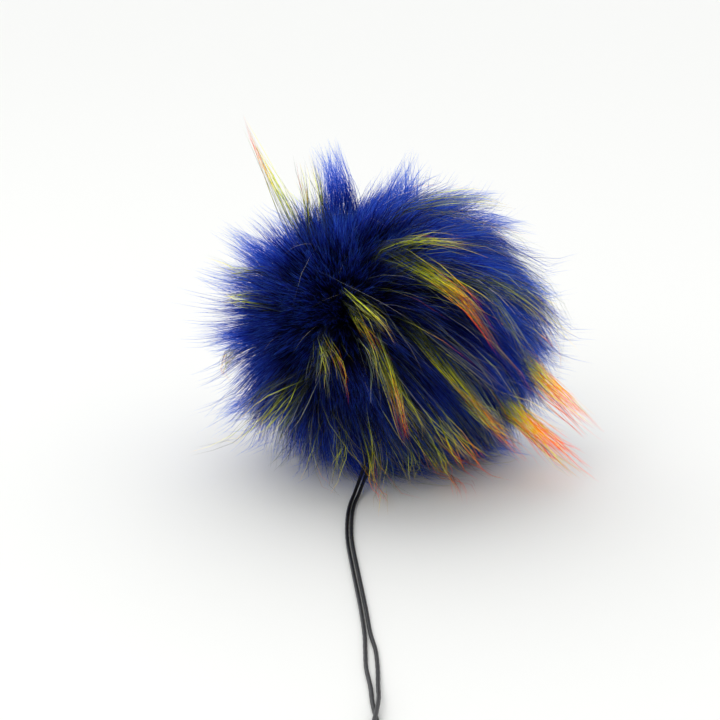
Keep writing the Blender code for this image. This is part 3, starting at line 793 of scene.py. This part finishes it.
guard_rows = np.repeat(np.arange(len(guard_ways)), FIBRES_A_GUARD_STRAND)
guard_length = (LOOSE_SHORTEST + LOOSE_LONGER * rng.random(len(guard_ways)) ** 2)[guard_rows]
guard_length *= rng.uniform(*LOOSE_HAIR_LENGTHS, len(guard_rows))
guard_root = unit(guard_ways[guard_rows] + rng.normal(size=(len(guard_rows), 3)) * LOOSE_SCATTER)
guard_lean = (rng.normal(size=(len(guard_ways), 3)) * LOOSE_LEAN * MM)[guard_rows]
guard_stray = rng.normal(size=(len(guard_rows), 3)) * LOOSE_STRAY * MM
stations = []
for step in GUARD_STEPS:
    way = unit(guard_root + LOOSE_DRAW * step ** LOOSE_DRAW_LATE * (guard_ways[guard_rows] - guard_root))
    share = (guard_length * step)[:, None]
    swept = comb(way, share ** LOOSE_BEND)
    rise = (1.0 - (1.0 - step) ** LOOSE_BEND) * guard_length[:, None]
    place = BALL_CENTRE + swept * (BALL_RADIUS + (pile_reach(swept) - BALL_RADIUS) * rise)
    stations.append(place + step ** LOOSE_LATE * (guard_lean + guard_stray))
guard_places = lie_on_surface(np.stack(stations, axis=1))
guard_dyes = pick_dyes(LOOSE, len(guard_ways), FIBRES_A_GUARD_STRAND)
grow_fibres("loose_guard_hair", guard_places, GUARD_WIDTHS, guard_dyes, GUARD_STRIP, guard_dyed, spread=0.16)

SPRUNG_HAIRS = (
    # where each hair comes out of the fur and where it ends, as seen from the front, each (right, up), and
    # how far it bows to its left: all in mm
    ((-20, 42), (2, 34), 2.5),
    ((-37, 28), (-26, 29), 1.0),
    ((-32, 17), (-25, 29), 0.2),
    ((-7, 23), (14, 14), 1.2),
    ((-12, 13), (10, 0), 0.4),
    ((-17, 19), (-14, 24), 0.0),
    ((-46, -10), (-39, -4), 0.4),
    ((-32, -7), (-25, -1), 0.3),
    ((17, 12), (23, 5), 0.2),
    ((26, 1), (36, -8), 0.4),
    ((4, -2), (14, -20), 0.8),
    ((-24, 8), (-14, 11), 0.2),
    ((-8, -20), (-4, -34), 0.3),
    ((30, 30), (44, 24), 0.5),
)
SPRUNG_REACH = (61.0, 67.0, 71.0, 73.0)  # mm from the ball's centre
SPRUNG_SUNK, SPRUNG_BACK = 0.053, 0.022  # where it is still deep in the fur: m out from the centre, and back
SPRUNG_SHARES = np.linspace(0.0, 1.0, 25)
SPRUNG_WIDTHS = 0.10 * (1.0 - SPRUNG_SHARES ** 6) * MM / 2
PALE_BAND = 3
sprung_places = []
for (from_right, from_up), (to_right, to_up), bow in SPRUNG_HAIRS:
    hair_length = math.hypot(to_right - from_right, to_up - from_up)
    over = []
    for share, reach in zip(np.linspace(0.0, 1.0, 4), SPRUNG_REACH):
        bowed = bow * math.sin(math.pi * share) / hair_length
        right = from_right + (to_right - from_right) * share - (to_up - from_up) * bowed
        up = from_up + (to_up - from_up) * share + (to_right - from_right) * bowed
        over.append(from_front(right, math.sqrt(reach ** 2 - right ** 2 - up ** 2), up) * MM)
    back_along = unit(over[0] - over[-1])
    slant = unit(over[0]) * SPRUNG_SUNK + back_along * SPRUNG_BACK
    root = unit(slant) * BALL_RADIUS
    line = np.array((root, slant, *over)) + BALL_CENTRE
    sprung_places.append(curve_through(line, SPRUNG_SHARES))
sprung_places = np.stack(sprung_places)
sprung_dyes = np.full(len(SPRUNG_HAIRS), DYE_PLACES[PALE_BAND])
grow_fibres("sprung_hairs", sprung_places, SPRUNG_WIDTHS, sprung_dyes, GUARD_STRIP, guard_dyed)

# ---- Tie ----
# The real piece is the two ends of the drawstring: thin round cord braided from black polyester, cut and
# sealed. They leave the gathered mouth side by side, come down and lie on the surface in front.

TIE_DIAMETER = 0.0014
TIE_ROUTE = (
    # right   along    up   half_gap  hump, in mm
    (0.0,    -19.03,  33.39,   1.15,  0.0),
    (-0.6,   -22.5,   29.4,    1.15,  0.0),
    (-2.4,   -27.8,   22.0,    1.10,  0.0),
    (-5.2,   -33.6,   13.4,    1.05,  0.0),
    (-8.0,   -40.0,    6.2,    1.00,  0.0),
    (-10.6,  -48.0,    2.0,    0.90,  0.0),
    (-12.6,  -58.0,    0.7,    0.87,  0.0),
    (-13.4,  -72.0,    0.7,    0.87,  0.0),
    (-13.1,  -90.0,    0.7,    0.87,  0.0),
    (-10.9, -115.0,    0.7,    0.87,  0.0),
    (-8.5,  -140.0,    0.7,    0.87,  0.0),
    (-7.1,  -158.0,    0.7,    0.95,  0.0),
    (-6.2,  -169.0,    0.7,    1.60,  0.0),
    (-5.8,  -180.0,    0.7,    1.75,  0.0),
    (-5.2,  -191.0,    0.7,    1.15,  0.6),
    (-4.9,  -200.0,    0.7,    0.90,  1.5),
    (-4.8,  -208.0,    0.7,    0.00,  1.75),
    (-4.7,  -216.0,    0.7,   -1.30,  1.5),
    (-4.4,  -226.0,    0.7,   -3.20,  0.5),
    (-3.6,  -238.0,    0.7,   -5.80,  0.0),
    (-2.4,  -250.0,    0.7,   -8.60,  0.0),
)
BRAID_PITCH = 0.0042  # a carrier's turn round the cord
BRAID_CARRIERS = 4  # each way round
BRAID_RELIEF = 0.00005
THREADS_ROUND, THREADS_ALONG = 8, 120  # how fine its lighter and darker patches are, round it and along it
TIE_RINGS, TIE_SPOKES = 700, 14

braid_black = new_material("braided_polyester_black")  # black with a slight gloss where threads cross
braid_place = add_node(braid_black, "ShaderNodeUVMap", {"uv_map": "OFBake"})
braid_scaled = add_node(braid_black, "ShaderNodeMapping", {"Scale": (THREADS_ROUND, THREADS_ALONG, 1)},
                        {"Vector": braid_place.outputs[0]})
braid_check = add_node(braid_black, "ShaderNodeTexNoise", {"Scale": 3.0, "Detail": 3.0},
                       {"Vector": braid_scaled.outputs[0]})
braid_colour = add_node(braid_black, "ShaderNodeValToRGB", links={"Fac": braid_check.outputs["Fac"]})
set_ramp(braid_colour, ((0.0, "#08080a"), (1.0, "#1c1c20")))
finish_material(braid_black, add_node(
    braid_black, "ShaderNodeBsdfPrincipled", {"Roughness": 0.42, "Specular IOR Level": 0.5},
    {"Base Color": braid_colour.outputs[0]},
))

stops = curve_through(np.array(TIE_ROUTE), np.linspace(0.0, 1.0, TIE_RINGS))
for name, node, side, passes_over in (("cord_left", "tie_left", -1, 0), ("cord_right", "tie_right", 1, 1)):
    right, along_floor, up, half_gap, hump = stops.T
    middle = np.stack((
        (right + side * half_gap) * MM, along_floor * MM,
        np.maximum(up * MM, TIE_DIAMETER / 2) + passes_over * np.maximum(hump, 0.0) * MM,
    ), axis=1)
    travelled = np.concatenate(([0.0], np.cumsum(np.linalg.norm(np.diff(middle, axis=0), axis=1))))
    ahead = unit(np.gradient(middle, axis=0))
    across_cord = unit(np.cross(ahead, (0.0, 0.0, 1.0)))
    up_cord = np.cross(across_cord, ahead)
    spokes = np.linspace(0.0, 2 * math.pi, TIE_SPOKES, endpoint=False)
    turn = 2 * math.pi * travelled[:, None] / BRAID_PITCH
    braid = np.maximum(np.cos(BRAID_CARRIERS * spokes + turn), np.cos(BRAID_CARRIERS * spokes - turn))
    radius = TIE_DIAMETER / 2 - BRAID_RELIEF * (1 - braid) * 0.5
    out = (np.cos(spokes)[None, :, None] * across_cord[:, None]
           + np.sin(spokes)[None, :, None] * up_cord[:, None])
    places = middle[:, None] + radius[..., None] * out
    corners, sides, uvs = grid_faces(TIE_RINGS, TIE_SPOKES)
    caps = np.concatenate((np.arange(TIE_SPOKES)[::-1], (TIE_RINGS - 1) * TIE_SPOKES + np.arange(TIE_SPOKES)))
    cap_uvs = np.stack((0.5 + 0.02 * np.cos(spokes), 0.5 + 0.02 * np.sin(spokes)), axis=1)
    cord = mesh_piece(name, places.reshape(-1, 3), np.concatenate((corners, caps)),
                      np.concatenate((sides, (TIE_SPOKES, TIE_SPOKES))),
                      np.concatenate((uvs, cap_uvs[::-1], cap_uvs)), braid_black)
    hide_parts(node)

# ---- Floor, light and camera ----
# A plain pale sweep under soft light. The camera stands a little above the pompom and looks at its front.

FLOOR_SIZE = 60.0
floor_white = new_material("matte_white_paper")  # without gloss, a shade under white, with a soft shadow on it
finish_material(floor_white, add_node(
    floor_white, "ShaderNodeBsdfPrincipled",
    {"Base Color": linear("#f1f1ed"), "Roughness": 0.9, "Specular IOR Level": 0.1},
))
floor_mesh = bpy.data.meshes.new("floor")
half = FLOOR_SIZE / 2
floor_corners = [(-half, -half, 0), (half, -half, 0), (half, half, 0), (-half, half, 0)]
floor_mesh.from_pydata(floor_corners, [], [(0, 1, 2, 3)])
floor_mesh.materials.append(floor_white)
floor = bpy.data.objects.new("floor", floor_mesh)
bpy.context.collection.objects.link(floor)

world = bpy.data.worlds.new("studio")  # a white tent, brighter behind the pompom than in front of it
world.use_nodes = True
tent = world.node_tree.nodes["Background"]
tent.inputs["Color"].default_value = linear("#fbfcff")
tent_way = add_node(world, "ShaderNodeTexCoord")
tent_sides = add_node(world, "ShaderNodeSeparateXYZ", links={"Vector": tent_way.outputs["Generated"]})
tent_light = add_node(world, "ShaderNodeMapRange", {"From Min": -1.0, "To Min": 0.28, "To Max": 1.45},
                      {"Value": tent_sides.outputs["Y"]})
world.node_tree.links.new(tent_light.outputs[0], tent.inputs["Strength"])
bpy.context.scene.world = world
bpy.context.scene.view_settings.view_transform = "Standard"

for name, kind, power, softness, place in (
    ("skylight", "SUN", 0.86, math.radians(70), (-0.3, 0.9, 1.3)),
    ("window", "AREA", 4.0, 0.8, (-0.7, -0.9, 1.0)),
):
    lamp = bpy.data.lights.new(name, kind)
    lamp.energy = power
    setattr(lamp, "angle" if kind == "SUN" else "size", softness)
    lamp_object = bpy.data.objects.new(name, lamp)
    lamp_object.location = place
    aim = BALL_CENTRE - np.array(place)
    lamp_object.rotation_euler = (math.acos(-aim[2] / np.linalg.norm(aim)), 0.0, -math.atan2(aim[0], aim[1]))
    bpy.context.collection.objects.link(lamp_object)

CAMERA_DISTANCE = 0.60
SENSOR_WIDTH = 36.0  # mm
VIEW_WIDTH = 0.2952  # at the ball's centre
PIXEL = VIEW_WIDTH / 720
AIM_LEFT, AIM_LOW = 23, 33  # pixels by which the camera aims past the ball's centre
looking = np.array((0.0, math.cos(VIEW_RISE), -math.sin(VIEW_RISE)))
view_up = np.array((0.0, math.sin(VIEW_RISE), math.cos(VIEW_RISE)))
aimed_at = BALL_CENTRE - np.array((AIM_LEFT * PIXEL, 0.0, 0.0)) - view_up * AIM_LOW * PIXEL
place = aimed_at - looking * CAMERA_DISTANCE
camera_data = bpy.data.cameras.new("camera")
camera_data.sensor_width = SENSOR_WIDTH
camera_data.lens = SENSOR_WIDTH * CAMERA_DISTANCE / VIEW_WIDTH
camera_data.clip_start, camera_data.clip_end = 0.02, 60.0
camera = bpy.data.objects.new("camera", camera_data)
camera.location = place
camera.rotation_euler = (math.pi / 2 - VIEW_RISE, 0.0, 0.0)
bpy.context.collection.objects.link(camera)
bpy.context.scene.camera = camera
